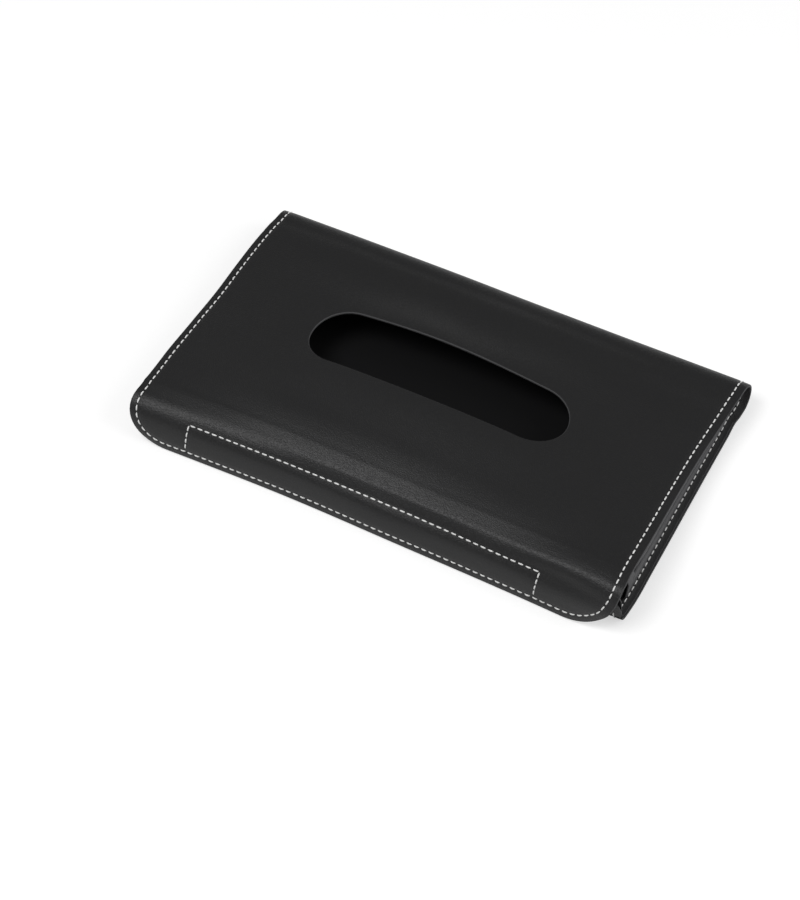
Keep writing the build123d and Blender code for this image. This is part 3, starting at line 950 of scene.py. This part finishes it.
# A path of straight runs with an arc at each corner, as points and as their normals to the left
def roundedPath(corners, radius, spacing):
    corners = np.array(corners, float)
    rows = [corners[:1]]
    for before, corner, after in zip(corners[:-2], corners[1:-1], corners[2:]):
        inward, outward = unit(corner - before), unit(after - corner)
        centre = corner + (outward - inward) * radius
        t = np.linspace(0, np.pi / 2, 7)[:, None]
        rows.append(centre - outward * radius * np.cos(t) + inward * radius * np.sin(t))
    rows.append(corners[-1:])
    path = np.concatenate(rows)
    at = np.concatenate([[0], np.cumsum(np.linalg.norm(np.diff(path, axis=0), axis=1))])
    even = np.unique(np.concatenate([at, evenRows(0, at[-1], spacing)]))
    even = even[np.concatenate([[True], np.diff(even) > tolerance])]
    path = np.stack([np.interp(even, at, path[:, i]) for i in range(2)], -1)
    along = unit(np.gradient(path, even, axis=0))
    return path, np.stack([-along[:, 1], along[:, 0]], -1)


def visorBand(name, node):
    low, high = boxOf(node)
    form = bandForm
    half = form["thickness"] / 2
    wall, floor, inside = high[1] - half, low[2] + half, high[2] - half
    tailEnd = high[1] - form["thickness"] - form["tail"]
    corners = [(-tailEnd, inside), (-wall, inside), (-wall, floor),
               (wall, floor), (wall, inside), (tailEnd, inside)]
    path, normals = roundedPath(corners, form["cornerRadius"], form["rowSpacing"])
    middleX, halfWidth = (low[0] + high[0]) / 2, (high[0] - low[0]) / 2
    across = evenRows(-halfWidth, halfWidth, form["ribPitch"] / form["columnsPerRib"])
    ribs = form["ribHeight"] * (np.cos(2 * np.pi * across / form["ribPitch"]) - 1) / 2
    fromEdge = halfWidth - np.abs(across)
    ribs = ribs - form["edgeRound"] * smoothStep(1 - fromEdge / form["edgeWidth"]) ** 2
    outer = path[:, None] - normals[:, None] * (half + ribs[None, :, None])
    x = np.repeat((middleX + across)[None], len(path), 0)
    points = np.stack([x, outer[..., 0], outer[..., 1]], -1)
    outY, outZ = (-np.repeat(column[:, None], len(across), 1) for column in normals.T)
    out = np.stack([np.zeros_like(x), outY, outZ], -1)
    tilted = np.cross(np.gradient(points, axis=1), np.gradient(points, axis=0))
    tilted = unit(tilted) * np.sign(np.sum(tilted * out, -1, keepdims=True))
    index = np.arange(x.size).reshape(x.shape)
    faces = gridFaces(index)
    first = points.reshape(-1, 3)[faces[0]]
    if np.dot(np.cross(first[1] - first[0], first[2] - first[0]), out[0, 0]) < 0:
        faces = faces[:, ::-1]
    points, faces, parts, turned = thicken(points.reshape(-1, 3), out.reshape(-1, 3), faces,
                                           form["thickness"], form["edgeBulge"])
    turned[: x.size] = tilted.reshape(-1, 3)
    piece = makePiece(name, points, faces, [finish["elastic"]] * 3, parts, turned)
    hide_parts(node)
    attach(piece, "base")


visorBand("left_visor_band", "visor_band_left")
visorBand("right_visor_band", "visor_band_right")
print("visor bands made")

# The solids that are shown as they are, and those that the soft pieces stand for
for node, coat in (("base_board", "board"), ("lip_magnet_strip", "board"), ("lip_magnets", "magnet")):
    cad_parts[node].data.materials.clear()
    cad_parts[node].data.materials.append(finish[coat])
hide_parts("top_panel", "front_flap")
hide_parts("bottom_panel")
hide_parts("top_lining", "flap_lining")
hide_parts("base_lining")
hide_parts("top_foam")
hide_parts("flap_magnet_strip")
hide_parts("flap_magnets")

# Once every mesh is final, some pieces have their places baked into their meshes and the others are attached
# to their bodies
for piece in (coverLeather, coverLining, frontThread):
    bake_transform(piece)
for piece in (baseLeather, rearThread):
    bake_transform(piece)
for piece in gussets:
    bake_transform(piece)
for piece, body in ((coverFoam, "cover"), (flapStrip, "flap"), (flapMagnetRow, "flap"), (baseLining, "base")):
    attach(piece, body)


# Floor, light and camera
studio = dict(
    floorColor=(0.58, 0.58, 0.58),
    floorGlow=0.545,
    floorGloss=0.8,         # share of that glow that gloss and glass see
    worldStrength=0.24,
    lamps=[
        ((-0.39, -0.52, 1.13), 0.65, 9.2),
        ((0.95, 0.2, 0.65), 1.0, 6.2),
    ],
    floorReach=4000,
    azimuth=28.0,
    elevation=51.2,
    distance=904.0,
    lens=84.0,
    sensor=36,
    clipStart=0.01,
    asideRight=-14.3,
    asideUp=-14.8,
)


def lookAt(thing, place, target):
    thing.location = place
    thing.rotation_euler = (Vector(target) - Vector(place)).to_track_quat("-Z", "Y").to_euler()


# The floor's own glow is seen by the camera and in gloss and glass, and lights nothing
def floorMaterial():
    material, nodes, links, shader = newMaterial("floor", studio["floorColor"], 0.9)
    rays = nodes.new("ShaderNodeLightPath")
    shader.inputs["Emission Color"].default_value = (1, 1, 1, 1)

    def combined(operation, first, second):
        node = nodes.new("ShaderNodeMath")
        node.operation = operation
        links.new(first, node.inputs[0])
        if isinstance(second, float):
            node.inputs[1].default_value = second
        else:
            links.new(second, node.inputs[1])
        return node.outputs[0]

    mirrored = combined("MAXIMUM", rays.outputs["Is Glossy Ray"], rays.outputs["Is Transmission Ray"])
    dimmer = combined("MULTIPLY", mirrored, studio["floorGloss"])
    seen = combined("MAXIMUM", rays.outputs["Is Camera Ray"], dimmer)
    links.new(combined("MULTIPLY", seen, studio["floorGlow"]), shader.inputs["Emission Strength"])
    return material


def buildStudio():
    corners = np.array([(-1, -1, 0), (1, -1, 0), (1, 1, 0), (-1, 1, 0)]) * studio["floorReach"]
    floor = makePiece("floor", corners, np.array([[0, 1, 2, 3]]), [floorMaterial()])
    for number, (place, size, power) in enumerate(studio["lamps"]):
        lamp = bpy.data.lights.new(f"lamp {number}", "AREA")
        lamp.size = size
        lamp.energy = power
        thing = bpy.data.objects.new(lamp.name, lamp)
        bpy.context.scene.collection.objects.link(thing)
        lookAt(thing, place, (0, 0, 0))
    world = bpy.data.worlds.new("studio")
    bpy.context.scene.world = world
    world.use_nodes = True
    background = world.node_tree.nodes["Background"]
    background.inputs["Color"].default_value = (1, 1, 1, 1)
    background.inputs["Strength"].default_value = studio["worldStrength"]
    bpy.context.scene.view_settings.view_transform = "Standard"


def buildCamera():
    a, e = np.radians(studio["azimuth"]), np.radians(studio["elevation"])
    back = np.array([np.sin(a) * np.cos(e), -np.cos(a) * np.cos(e), np.sin(e)])
    right = np.array([np.cos(a), np.sin(a), 0])
    up = np.cross(back, right)
    target = right * studio["asideRight"] + up * studio["asideUp"]
    lens = bpy.data.cameras.new("camera")
    lens.lens = studio["lens"]
    lens.sensor_width = studio["sensor"]
    lens.clip_start = studio["clipStart"]
    camera = bpy.data.objects.new("camera", lens)
    bpy.context.scene.collection.objects.link(camera)
    lookAt(camera, (target + back * studio["distance"]) * mm, target * mm)
    bpy.context.scene.camera = camera


buildStudio()
buildCamera()
